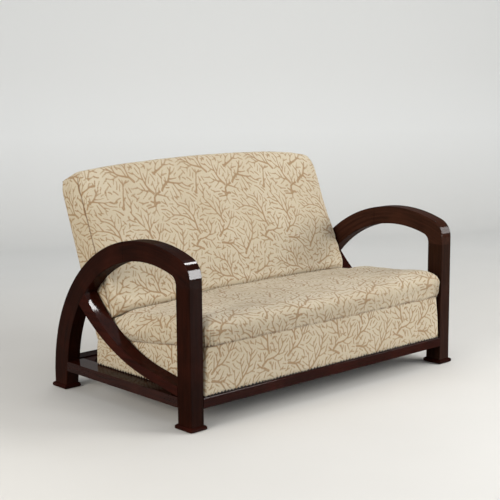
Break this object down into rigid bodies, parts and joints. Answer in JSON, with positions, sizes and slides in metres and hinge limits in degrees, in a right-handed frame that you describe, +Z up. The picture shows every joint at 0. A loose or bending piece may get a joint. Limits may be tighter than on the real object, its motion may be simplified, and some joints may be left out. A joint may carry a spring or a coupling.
{
  "type": "two-seater sofa",
  "caption": "Two-seater sofa with glossy dark D-shaped bentwood arms and a fixed sprung seat and leaning back in patterned cream fabric.",
  "frame": {"origin": "on the floor, midway between the arms and midway between the nose of the seat and the top of the back", "axes": "+Z up; +Y from the front of the seat to its back; +X across the seat, towards the sitter's left"},
  "size_m": [1.466, 0.9104, 0.907],
  "materials": {
    "lacquered_wood": "gloss",
    "raw_beech": "matte",
    "patterned_fabric": "matte",
    "stuffing": "matte",
    "hessian": "matte",
    "jute_webbing": "matte",
    "black_lining": "matte",
    "spring_steel": "satin",
    "zinc_steel": "satin"
  },
  "bodies": {
    "root": {"left_front_leg": "lacquered_wood", "left_arm_front_bow": "lacquered_wood", "left_arm_rear_bow": "lacquered_wood", "left_brace": "lacquered_wood", "left_side_rail": "lacquered_wood", "left_front_foot": "lacquered_wood", "left_rear_foot": "lacquered_wood", "left_bearer": "raw_beech", "seat_frame_left": "raw_beech", "back_frame_left_stile": "raw_beech", "left_border": "patterned_fabric", "left_back_boxing": "patterned_fabric", "right_front_leg": "lacquered_wood", "right_arm_front_bow": "lacquered_wood", "right_arm_rear_bow": "lacquered_wood", "right_brace": "lacquered_wood", "right_side_rail": "lacquered_wood", "right_front_foot": "lacquered_wood", "right_rear_foot": "lacquered_wood", "right_bearer": "raw_beech", "seat_frame_right": "raw_beech", "back_frame_right_stile": "raw_beech", "right_border": "patterned_fabric", "right_back_boxing": "patterned_fabric", "front_rail": "lacquered_wood", "back_rail": "lacquered_wood", "frame_dowels": "raw_beech", "corner_blocks": "raw_beech", "seat_frame_front": "raw_beech", "seat_frame_rear": "raw_beech", "back_frame_top_rail": "raw_beech", "back_frame_bottom_rail": "raw_beech", "foot_screws": "zinc_steel", "corner_screws": "zinc_steel", "bearer_screws": "zinc_steel", "seat_screws": "zinc_steel", "floor_glides": "zinc_steel", "front_border": "patterned_fabric", "rear_border": "patterned_fabric", "seat_cover": "patterned_fabric", "back_cover": "patterned_fabric", "outside_back": "patterned_fabric", "seat_padding": "stuffing", "back_padding": "stuffing", "seat_hessian": "hessian", "back_hessian": "hessian", "seat_webbing": "jute_webbing", "back_webbing": "jute_webbing", "dust_cover": "black_lining", "seat_springs": "spring_steel", "seat_edge_wire": "spring_steel"}
  },
  "joints": []
}
